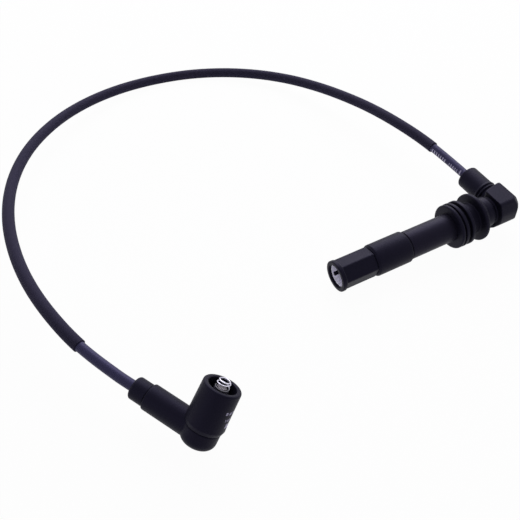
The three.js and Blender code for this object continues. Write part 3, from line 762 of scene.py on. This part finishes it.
# The pieces
class SetCamera(bpy.types.Operator):
    """Puts the camera where the picture was taken"""

    bl_idname = "lead.set_camera"
    bl_label = "Camera"

    def execute(self, context):
        stage = context.scene.ignition_lead.stage
        camera = bpy.data.objects.new("camera", bpy.data.cameras.new("camera"))
        context.scene.collection.objects.link(camera)
        camera.data.sensor_width, camera.data.lens = 36, stage.lens
        camera.location = stage.camera_place
        camera.rotation_euler = (stage.camera_pitch, 0, stage.camera_heading)
        context.scene.camera = camera
        return {"FINISHED"}


class MakeCable(bpy.types.Operator):
    """Builds the silicone cable and the woven sleeve on it"""

    bl_idname = "lead.make_cable"
    bl_label = "Cable and sleeve"

    def execute(self, context):
        lead = context.scene.ignition_lead
        sizes = lead.cable
        line, coil_mouth, plug_mouth = cable_line(lead)
        sleeve_end = plug_mouth - sizes.bare_at_plug

        def dashes(around, run):
            """Two rows of printed dashes after the sleeve's end, and a pale tick before the plug boot
            that is a painted highlight.
            """
            soft, pitch, strength = 0.2 * MM, 2.4 * MM, 0.95
            words = 0
            for middle, half in ((9.5, 8.5), (27, 5)):
                words = run.within(sleeve_end + middle * MM, half * MM, soft) + words
            gaps = (run / pitch).fraction().within(0.5, 0.3, 0.1)
            # A pale mark on one side of the cable, a painted highlight.
            painted_glint = run.within(plug_mouth - 5.5 * MM, 0.7 * MM, soft)
            row = around.within(0.235, 0.065, 0.01)
            return row * (words * gaps * strength) + painted_glint * around.within(0.2, 0.09, 0.01)

        path = stretch(line, 0, run_of(line)[-1])
        silicone = extruded_silicone("Cable silicone", lead.finish, dashes)
        cable = put(
            "cable_run", tube("cable_run", path, sizes.diameter), silicone,
            Matrix.Identity(4), "cable_silicone", "cable",
        )
        sleeved = stretch(line, coil_mouth + sizes.bare_at_coil, sleeve_end)
        mesh = tube("sleeve_run", sleeved, sizes.sleeve_diameter, sizes.sleeve_wall, sides=40)
        weave = woven_sleeve("Woven sleeve", lead.finish, sizes.sleeve_diameter)
        sleeve = put("sleeve_run", mesh, weave, Matrix.Identity(4), "sleeve", "protective_sleeve")
        return {"FINISHED"}


class MakeCoilElbow(bpy.types.Operator):
    """Builds the coil boot's moulded elbow and the seal round its cable"""

    bl_idname = "lead.make_coil_elbow"
    bl_label = "Coil elbow and seal"

    def execute(self, context):
        lead = context.scene.ignition_lead
        coil, bore = lead.coil, lead.cable.diameter + 2 * SLIP
        base, spigot, step = coil.base_diameter / 2, coil.spigot_diameter / 2, coil.shell_foot - SEAT
        drop = -coil.heel_drop
        tower = turned("tower", [
            (drop, 0), (drop, base, coil.heel_edge_round), (step, base, 0.4 * MM),
            (step, spigot), (coil.spigot_top, spigot, 0.6 * MM), (coil.spigot_top, 0),
        ], "Z")
        heel = prism("heel", [
            (2 * base, coil.mouth_height), (-2 * base, coil.mouth_height), (-base, 0),
            (-base, drop, coil.heel_round), (base, drop, coil.heel_free_round), (base, 0),
        ], -2 * base, 2 * base)
        arm, end = coil.arm_diameter / 2, coil.arm_length
        arm = turned("arm", [(0, 0), (0, arm), (end, arm, 0.7 * MM), (end, 0)])
        past, stud = end + MM, 3.9 * MM
        terminal, terminal_start, terminal_end = 5.5 * MM, -3.65 * MM, 6.1 * MM
        cut = [
            rod("core", coil.core_foot - SEAT, coil.spigot_top + MM, coil.core_diameter + 2 * SLIP, "Z"),
            rod("stud", 0, coil.core_foot, stud, "Z"),
            rod("terminal", terminal_start, terminal_end, terminal),
            rod("cable hole", terminal_end - SEAT, past, bore),
            rod("seal hole", end - coil.seal_plug - SEAT, past, coil.seal_plug_diameter + 2 * SLIP),
        ]
        rubber = moulded_rubber("Coil rubber", lead.finish)
        where = coil_frame(coil)
        tower = carved("tower", tower, kept=[heel])
        elbow = carved("coil_elbow_moulding", tower, fused=[arm], cut=cut, moulded=True)
        put("coil_elbow_moulding", elbow, rubber, where, "boot_rubber", "coil_elbow_boot", crease=180)
        plug, collar = coil.seal_plug_diameter / 2, coil.seal_diameter / 2
        inner, face, out = end - coil.seal_plug, end + SEAT, end + coil.seal_out
        seal = turned("coil_seal_ring", [
            (inner, bore / 2), (inner, plug), (face, plug), (face, collar, 0.3 * MM),
            (out, collar, 2 * MM), (out, bore / 2, 0.3 * MM),
        ])
        put("coil_seal_ring", seal, rubber, where, "boot_rubber", "coil_cable_seal")
        return {"FINISHED"}


class MakeCoilTower(bpy.types.Operator):
    """Builds the shell round the coil boot's tower, with plain printed dashes on its back"""

    bl_idname = "lead.make_coil_tower"
    bl_label = "Coil tower shell"

    def execute(self, context):
        lead = context.scene.ignition_lead
        coil = lead.coil
        foot, top, socket = coil.shell_foot, coil.mouth_height, coil.spigot_diameter / 2 + SLIP
        wide, mouth, bore = coil.shell_foot_diameter / 2, coil.mouth_diameter / 2, coil.bore / 2
        floor = coil.spigot_top + SEAT
        shell = turned("shell", [
            (foot, socket), (foot, wide - coil.foot_bevel, 0.2 * MM),
            (foot + coil.foot_bevel_height, wide, 0.7 * MM), (coil.spigot_top, (wide + mouth) / 2),
            (top, mouth, coil.lip_round), (top, bore, 0.7 * MM), (floor, bore), (floor, socket),
        ], "Z")
        notch = rod("notch", 0, coil.shell_foot_diameter, coil.arm_diameter + 2 * SEAT)
        shell = carved("coil_tower_cover", shell, cut=[notch])

        def dashes(x, y, z):
            arc = x.math("ARCTAN2", y, -x) * mouth
            ink = 0
            rows = ((20.2, 1.0, 7, 2.6), (15.7, 0.8, 4.4, 2.2), (11.6, 1.5, 3.2, 6.4))
            for height, half, reach, pitch in rows:
                gaps = (arc / (pitch * MM) + 0.5).fraction().within(0.5, 0.33, 0.05)
                row = z.within(height * MM, half * MM, 0.15 * MM) * gaps
                ink = row * arc.within(0, reach * MM, 0.15 * MM) + ink
            return ink

        rubber = moulded_rubber("Printed rubber", lead.finish, dashes)
        put("coil_tower_cover", shell, rubber, coil_frame(coil), "boot_rubber", "coil_tower_shell")
        return {"FINISHED"}


class MakeCoilContact(bpy.types.Operator):
    """Builds the coil boot's insulator core with its rivet and contact spring"""

    bl_idname = "lead.make_coil_contact"
    bl_label = "Coil contact"

    def execute(self, context):
        lead = context.scene.ignition_lead
        coil, finish, where = lead.coil, lead.finish, coil_frame(lead.coil)
        top, outer, bore = coil.mouth_height - coil.core_below, coil.core_diameter / 2, 3.15 * MM
        foot, edge = coil.core_foot, 0.8 * MM
        core = turned("coil_core_post", [
            (foot, bore), (foot, outer, 0.3 * MM), (top, outer, edge), (top, bore),
        ], "Z")
        plastic = hard_plastic("Core plastic", finish)
        put("coil_core_post", core, plastic, where, "hard_plastic", "coil_insulator_core")
        seat, face, stem, tail = top + SLIP, top + SLIP + edge, 3 * MM, 18.1 * MM
        rivet = turned("coil_rivet_head", [
            (tail, 0), (tail, stem, 0.3 * MM), (seat, stem), (face, stem, 0.3 * MM), (face, 0),
        ], "Z")
        nickel = bright_metal("Rivet nickel", finish.nickel, 0.4, "Z")
        put("coil_rivet_head", rivet, nickel, where, "bright_steel", "coil_contact_rivet")
        path = spring_path(
            seat, seat + coil.spring_height, coil.spring_foot, coil.spring_top, coil.spring_wire,
            turns=3,
        )
        wire = tube("coil_spring_wire", path, coil.spring_wire, sides=16)

        def below(x, y, z):
            """The spring's foot, painted dark as a painted shade that fades upwards."""
            return z.within(seat, 2.4 * MM, 1.2 * MM) * 0.9

        steel = bright_metal("Spring steel", finish.steel, 0.18, "Z", painted_shade=below)
        put("coil_spring_wire", wire, steel, where, "bright_steel", "coil_contact_spring")
        return {"FINISHED"}


class MakePlugTip(bpy.types.Operator):
    """Builds the plug boot's hexagonal tip with its metal liner and grip bush"""

    bl_idname = "lead.make_plug_tip"
    bl_label = "Plug tip and liner"

    def execute(self, context):
        lead = context.scene.ignition_lead
        plug, where = lead.plug, mouth_frame(lead.plug)
        ring, length, end = plug.ring_diameter / 2, plug.ring_length, plug.tip_length
        corner, corner_round = plug.hexagon / 2, 1.4 * MM
        mouth = turned("mouth", [
            (0, 0), (0, ring, 0.6 * MM), (length, ring, 0.7 * MM), (length, 0),
        ])
        spokes = [TURNS * corner / 6 + plug.hexagon_turn for corner in range(6)]
        hexagon = [(corner * math.cos(a), corner * math.sin(a), corner_round) for a in spokes]
        tip_end = end + plug.spigot_length
        liner_end = plug.liner_inset + plug.liner_length
        fused = [
            prism("hexagon", hexagon, length / 2, end),
            rod("spigot", end - MM, tip_end, plug.spigot_diameter),
        ]
        cut = [
            rod("socket", -MM, liner_end + SLIP, plug.liner_diameter + 2 * SLIP),
            rod("throat", liner_end, tip_end + MM, plug.throat),
        ]
        tip = carved("plug_tip_moulding", mouth, fused=fused, cut=cut, moulded=True)
        rubber = moulded_rubber("Tip rubber", lead.finish)
        put("plug_tip_moulding", tip, rubber, where, "boot_rubber", "plug_tip", crease=180)
        outer = plug.liner_diameter / 2
        inner = outer - plug.liner_wall
        liner = turned("liner", [
            (plug.liner_inset, inner, 0.1 * MM), (plug.liner_inset, outer, 0.1 * MM),
            (liner_end, outer), (liner_end, inner),
        ])
        half = plug.slot_width / 2
        slot_start = plug.liner_inset + plug.slot_inset
        turn = Matrix.Rotation(plug.slot_turn, 2)
        corners = [(0, -half), (2 * outer, -half), (2 * outer, half), (0, half)]
        corners = [turn @ Vector(corner) for corner in corners]
        slot = prism("slot", corners, slot_start, slot_start + plug.slot_length)
        liner = carved("plug_liner_tube", liner, cut=[slot])
        steel = bright_metal("Liner steel", lead.finish.tin, 0.6, "X")
        put("plug_liner_tube", liner, steel, where, "bright_steel", "plug_contact_liner")
        start, grip, room = liner_end - plug.bush_length, plug.throat / 2, inner - SLIP
        bush = turned("plug_bush_ring", [
            (start, grip, MM), (start, room, 0.3 * MM), (liner_end, room), (liner_end, grip),
        ])
        put("plug_bush_ring", bush, rubber, where, "boot_rubber", "plug_grip_bush")
        return {"FINISHED"}


class MakePlugTube(bpy.types.Operator):
    """Builds the plug boot's hard tube and the rubber band over its joint with the tip"""

    bl_idname = "lead.make_plug_tube"
    bl_label = "Plug tube and band"

    def execute(self, context):
        lead = context.scene.ignition_lead
        plug, where = lead.plug, mouth_frame(lead.plug)
        spigot, outer, chamfer = plug.spigot_diameter / 2, plug.band_diameter / 2, plug.band_chamfer
        start = plug.tip_length + SEAT
        end = start + plug.band_length
        band = turned("plug_band_ring", [
            (start, spigot + SLIP), (start, outer - chamfer, 0.2 * MM),
            (start + chamfer, outer, 0.8 * MM), (end - chamfer, outer, 0.8 * MM),
            (end, outer - chamfer, 0.2 * MM), (end, spigot + SLIP),
        ])
        rubber = moulded_rubber("Band rubber", lead.finish)
        put("plug_band_ring", band, rubber, where, "boot_rubber", "plug_band")
        tube_start = plug.tip_length + plug.spigot_length + SEAT
        step, rear, tube_outer = end + SEAT, seal_stations(plug)[-1], plug.tube_diameter / 2
        stem, stem_end, lead_bore = plug.stem_diameter / 2, rear + plug.stem_length, plug.lead_bore / 2
        cup, cup_end, bore, bore_end = 4.75 * MM, 56.2 * MM, 4.2 * MM, 95.35 * MM
        stem = turned("plug_tube_stem", [
            (tube_start, cup), (tube_start, spigot), (step, spigot), (step, tube_outer, 0.6 * MM),
            (rear, tube_outer, 0.3 * MM), (rear, stem), (stem_end, stem), (stem_end, lead_bore),
            (bore_end, lead_bore), (bore_end, bore), (cup_end, bore), (cup_end, cup),
        ])
        plastic = hard_plastic("Tube plastic", lead.finish)
        put("plug_tube_stem", stem, plastic, where, "hard_plastic", "plug_tube")
        return {"FINISHED"}


# The seal's front disc, gap, rib, gap, rib, wide groove, rear disc and end cone, in millimetres.
SEAL_WIDTHS = (2.5, 1.2, 2.5, 2.6, 2.6, 9, 2.6, 4.7)


def seal_stations(plug):
    """Where the parts of the seal start, from the mouth, and where the last one ends."""
    stations = [plug.seal_start]
    for width in SEAL_WIDTHS:
        stations.append(stations[-1] + width * MM)
    return stations


class MakeWellSeal(bpy.types.Operator):
    """Builds the ribbed rubber seal that closes the plug well"""

    bl_idname = "lead.make_well_seal"
    bl_label = "Plug well seal"

    def execute(self, context):
        lead = context.scene.ignition_lead
        plug = lead.plug
        front, rib, notch = plug.seal_front / 2, plug.seal_rib / 2, plug.seal_notch / 2
        groove, disc, bore = plug.seal_groove / 2, plug.seal_disc / 2, plug.tube_diameter / 2 + SLIP
        small = 0.5 * MM
        at = seal_stations(plug)
        seal = turned("plug_seal_discs", [
            (at[0], bore), (at[0], front, 1.2 * MM), (at[1], front, small), (at[1], notch),
            (at[2], notch), (at[2], rib, small), (at[3], rib, small), (at[3], notch),
            (at[4], notch), (at[4], rib, small), (at[5], rib, small), (at[5], groove, MM),
            (at[6] - 0.4 * MM, groove, MM), (at[6], disc, 1.1 * MM),
            (at[7], disc, 1.2 * MM), (at[7] + 2 * MM, plug.seal_end / 2 + MM, small),
            (at[8], plug.seal_end / 2, small), (at[8], bore),
        ], sides=128)
        rubber = moulded_rubber("Seal rubber", lead.finish)
        put("plug_seal_discs", seal, rubber, mouth_frame(plug), "boot_rubber", "plug_well_seal")
        return {"FINISHED"}


def head_block(plug):
    """The elbow's head: a bevelled block, flat on top, common to three crossed prisms and a ball."""
    top, under, side, bevel = plug.head_top, plug.head_under, plug.head_side, plug.head_bevel
    front, back, near = -plug.head_front, plug.head_back, plug.head_side - MM
    brow, corner, fillet, soft = plug.head_brow, plug.head_corner, MM, 5 * MM
    roof_near, roof_far, foot_near, foot_far = 11.5 * MM, 9.8 * MM, 6 * MM, 7.5 * MM
    flank_top, flank_foot, near_flank = 4.1 * MM, 4 * MM, 5 * MM
    front_near, back_near = 7.5 * MM, 11.8 * MM
    block = prism("head", [
        (roof_near, top, 2 * MM), (-roof_far, top, 3 * MM), (-side, flank_top, 10 * MM),
        (-side, -flank_foot, 10 * MM), (-foot_far, -under, 4 * MM), (foot_near, -under, 4 * MM),
        (near, -near_flank, 3 * MM), (near, near_flank, 3 * MM),
    ], front, back)
    from_arm = prism("bevels over", [
        (front, top + MM), (front, -under - MM), (back - bevel, -under - MM, soft),
        (back, -under + bevel - MM, soft), (back, top - brow + MM, soft),
        (back - brow, top + MM, soft),
    ], -side - MM, side + MM, "Y")
    from_top = prism("bevels beside", [
        (front, front_near, fillet), (front, -side - MM), (back - corner, -side - MM, soft),
        (back, corner - side, soft), (back, back_near, soft),
    ], -under - MM, top + MM, "Z")
    reach = plug.head_ball
    ball = turned("ball", [(-reach, 0), (-reach, reach, reach), (reach, reach, reach), (reach, 0)])
    ball.transform(Matrix.Translation(plug.ball_centre))
    return carved("head", block, kept=[from_arm, from_top, ball])


class MakePlugElbow(bpy.types.Operator):
    """Builds the plug boot's moulded elbow head with its gland and grommet"""

    bl_idname = "lead.make_plug_elbow"
    bl_label = "Plug elbow and grommet"

    def execute(self, context):
        lead = context.scene.ignition_lead
        plug, cable = lead.plug, lead.cable.diameter + 2 * SLIP
        front, neck, groove = -plug.head_front, plug.neck_diameter / 2, plug.groove_diameter / 2
        start = seal_stations(plug)[-1] + SEAT - plug.elbow
        neck_end = front - plug.groove_length
        stem = turned("stem", [
            (start, 0), (start, neck, 0.8 * MM), (neck_end, neck, 0.5 * MM), (neck_end, groove),
            (front + MM, groove), (front + MM, 0),
        ])
        boss, rib, gland = plug.boss_diameter / 2, plug.rib_diameter / 2, plug.gland_diameter / 2
        width, end, small = plug.rib_length, plug.boss_length, 0.3 * MM
        first, last = end - 3 * width, end - width
        arm = turned("arm", [
            (0, 0), (0, boss), (first, boss), (first, rib, small), (first + width, rib, small),
            (first + width, boss), (last, boss), (last, rib, small), (end, rib, small),
            (end, gland), (plug.gland_length, gland, MM), (plug.gland_length, 0),
        ], "Y")
        half, root = plug.lug_width / 2, MM - groove
        lug = prism("lug", [
            (half, -plug.head_under, 1.5 * MM), (half, root), (-half, root),
            (-half, -plug.head_under, 1.5 * MM),
        ], front - plug.lug_reach, front + MM)
        past = plug.gland_length + MM
        grommet_start = plug.gland_length - plug.grommet_length
        terminal, terminal_start, lead_end = 6.1 * MM, -3.75 * MM, 4.55 * MM
        cut = [
            rod("tube socket", start - MM, start + plug.stem_length, plug.stem_diameter + 2 * SLIP),
            rod("lead hole", start, lead_end, plug.lead_bore),
            rod("terminal hole", terminal_start, CABLE_IN_PLUG, terminal, "Y"),
            rod("cable hole", CABLE_IN_PLUG - SEAT, past, cable, "Y"),
            rod("grommet hole", grommet_start - SEAT, past, plug.grommet_diameter + 2 * SLIP, "Y"),
        ]
        elbow = carved(
            "plug_elbow_moulding", stem, fused=[arm, lug, head_block(plug)], cut=cut, moulded=True
        )
        rubber, where = moulded_rubber("Elbow rubber", lead.finish), plug_frame(plug)
        put("plug_elbow_moulding", elbow, rubber, where, "boot_rubber", "plug_elbow", crease=180)
        outer, out = plug.grommet_diameter / 2, plug.gland_length - 0.4 * MM
        grommet = turned("plug_grommet_ring", [
            (grommet_start, cable / 2), (grommet_start, outer), (out, outer, 0.6 * MM),
            (out, cable / 2, 0.4 * MM),
        ], "Y")
        put("plug_grommet_ring", grommet, rubber, where, "boot_rubber", "plug_gland_grommet")
        return {"FINISHED"}


class DressContacts(bpy.types.Operator):
    """Gives the contact pieces inside the boots their metals and ceramic"""

    bl_idname = "lead.dress_contacts"
    bl_label = "Inner contact pieces"

    def execute(self, context):
        finish = context.scene.ignition_lead.finish
        brass = bright_metal("Contact brass", finish.brass, 0.3, "X", carried=True)
        steel = bright_metal("Contact steel", finish.steel, 0.22, "X", carried=True)
        ceramic = fired_ceramic("Resistor ceramic", finish.ceramic)
        dressed = {
            "coil_resistor": ceramic, "coil_cable_terminal": brass, "plug_terminal_cup": brass,
            "plug_terminal_clip": steel, "plug_contact_spring": steel,
            "plug_resistor_front_cap": brass, "plug_resistor": ceramic,
            "plug_resistor_rear_cap": brass, "plug_lead_rod": brass, "plug_cable_terminal": brass,
        }
        for name, look in dressed.items():
            for slot in frame["nodes"][name].material_slots:
                slot.material = look
        return {"FINISHED"}


class MakeStage(bpy.types.Operator):
    """Lays the pale table and sets the soft lamps and the plain surroundings"""

    bl_idname = "lead.make_stage"
    bl_label = "Stage"

    def execute(self, context):
        stage = context.scene.ignition_lead.stage
        half = 5  # metres, so that the table's edge stays out of sight
        mesh = bpy.data.meshes.new("table")
        mesh.from_pydata(
            [(-half, -half, 0), (half, -half, 0), (half, half, 0), (-half, half, 0)], [], [(0, 1, 2, 3)]
        )
        table = bpy.data.objects.new("table", mesh)
        context.scene.collection.objects.link(table)
        made, graph = material("Table top")
        matt = graph.add("ShaderNodeBsdfDiffuse", None, {"Color": shade(stage.floor)})
        white = graph.add("ShaderNodeEmission", None, {"Color": (1, 1, 1, 1), "Strength": 1})
        glow = seen(graph) * stage.floor_glow
        mixed = graph.add("ShaderNodeMixShader", None, {0: glow, 1: matt, 2: white})
        graph.add("ShaderNodeOutputMaterial", None, {"Surface": mixed})
        mesh.materials.append(made)
        world = bpy.data.worlds.new("surroundings")
        world.use_nodes = True
        context.scene.world = world
        graph = Graph(world.node_tree)
        sky = graph.add("ShaderNodeBackground", None, {"Color": (1, 1, 1, 1), "Strength": stage.sky})
        white = graph.add("ShaderNodeBackground", None, {"Color": (1, 1, 1, 1), "Strength": 1})
        mixed = graph.add("ShaderNodeMixShader", None, {0: seen(graph), 1: sky, 2: white})
        graph.add("ShaderNodeOutputWorld", None, {"Surface": mixed})
        lamp("top lamp", (0.6, 1.05, 0.95), 1.3, stage.top_lamp)
        lamp("left lamp", (-1.3, -0.2, 0.7), 0.9, stage.side_lamp)
        lamp("right lamp", (1.2, -0.1, 0.8), 0.9, stage.side_lamp)
        context.scene.view_settings.view_transform = "Standard"
        return {"FINISHED"}


def seen(graph):
    """1 for what the camera sees by itself, in a reflection or through glass, and 0 for light."""
    rays = ["Is Camera Ray", "Is Glossy Ray", "Is Transmission Ray"]
    camera, mirrored, through = [graph.add("ShaderNodeLightPath", output=ray) for ray in rays]
    return camera.math("MAXIMUM", camera, camera.math("MAXIMUM", mirrored, through))


COOL_LIGHT = (0.95, 0.93, 1)
LAMP_TARGET = Vector((0, 0.12, 0))  # the middle of the loop


def lamp(name, spot, size, power):
    light = bpy.data.lights.new(name, "AREA")
    light.size, light.energy, light.color = size, power, COOL_LIGHT
    holder = bpy.data.objects.new(name, light)
    bpy.context.scene.collection.objects.link(holder)
    holder.location = spot
    aim = LAMP_TARGET - Vector(spot)
    holder.rotation_euler = aim.to_track_quat("-Z", "Y").to_euler()


STEPS = (
    SetCamera, MakeCable, MakeCoilElbow, MakeCoilTower, MakeCoilContact, MakePlugTip, MakePlugTube,
    MakeWellSeal, MakePlugElbow, DressContacts, MakeStage,
)


class LeadPanel(bpy.types.Panel):
    """Sizes, finishes and building steps of the ignition lead"""

    bl_idname = "VIEW3D_PT_ignition_lead"
    bl_label = "Ignition lead"
    bl_space_type = "VIEW_3D"
    bl_region_type = "UI"
    bl_category = "Ignition lead"

    def draw(self, context):
        lead = context.scene.ignition_lead
        for step in STEPS:
            self.layout.operator(step.bl_idname)
        for part in ("cable", "coil", "plug", "finish", "stage"):
            box = self.layout.box()
            box.label(text=lead.bl_rna.properties[part].name)
            settings = getattr(lead, part)
            for setting in settings.__annotations__:
                box.prop(settings, setting)


CLASSES = (
    CableSizes, CoilBootSizes, PlugBootSizes, Finishes, StageSettings, LeadSettings, *STEPS, LeadPanel,
)


def register():
    for made in CLASSES:
        bpy.utils.register_class(made)
    bpy.types.Scene.ignition_lead = PointerProperty(type=LeadSettings)


def unregister():
    del bpy.types.Scene.ignition_lead
    for made in reversed(CLASSES):
        bpy.utils.unregister_class(made)


def main():
    register()
    for step in STEPS:
        group, name = step.bl_idname.split(".")
        getattr(getattr(bpy.ops, group), name)()


if __name__ == "__main__":
    main()
